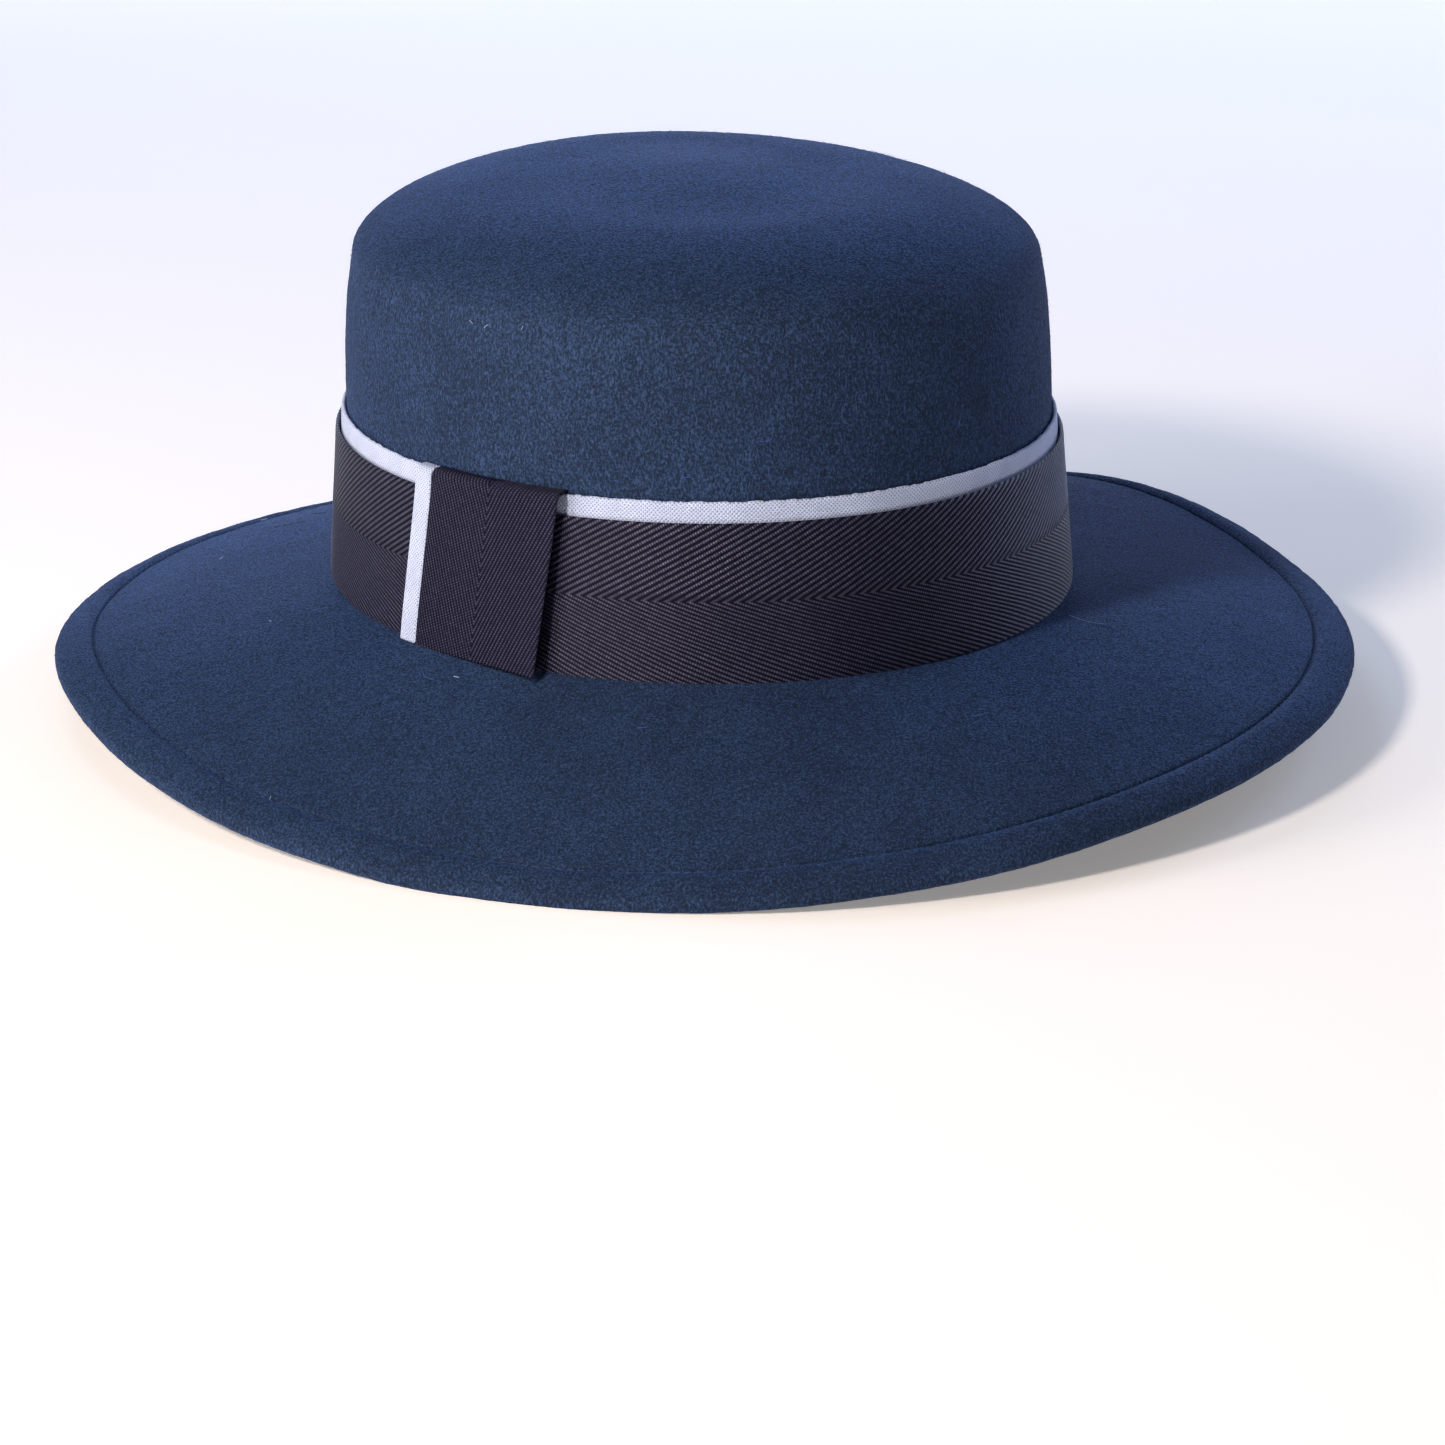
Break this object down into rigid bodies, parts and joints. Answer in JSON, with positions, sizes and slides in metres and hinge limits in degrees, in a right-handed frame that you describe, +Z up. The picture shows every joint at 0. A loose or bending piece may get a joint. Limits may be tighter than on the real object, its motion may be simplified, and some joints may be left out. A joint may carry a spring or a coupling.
{
  "type": "gaucho hat",
  "caption": "Felt hat with a flat round crown, a wide sloping brim with a stitched turned-under rim, and a herringbone ribbon band with a white tape edge and a keeper.",
  "frame": {"origin": "bottom centre of the hat's box, on the surface that the brim rests on", "axes": "+Z up, -Y towards the front of the head, +X towards the wearer's left"},
  "size_m": [0.3068, 0.3358, 0.1256],
  "materials": {
    "felt": "soft wool felt, matt",
    "ribbon": "herringbone twill ribbon, low sheen",
    "tape": "woven cotton tape, matt"
  },
  "bodies": {
    "root": {"felt_body": "felt", "white_tape": "tape", "ribbon_band": "ribbon", "keeper": "ribbon", "keeper_tape": "tape"}
  },
  "joints": []
}
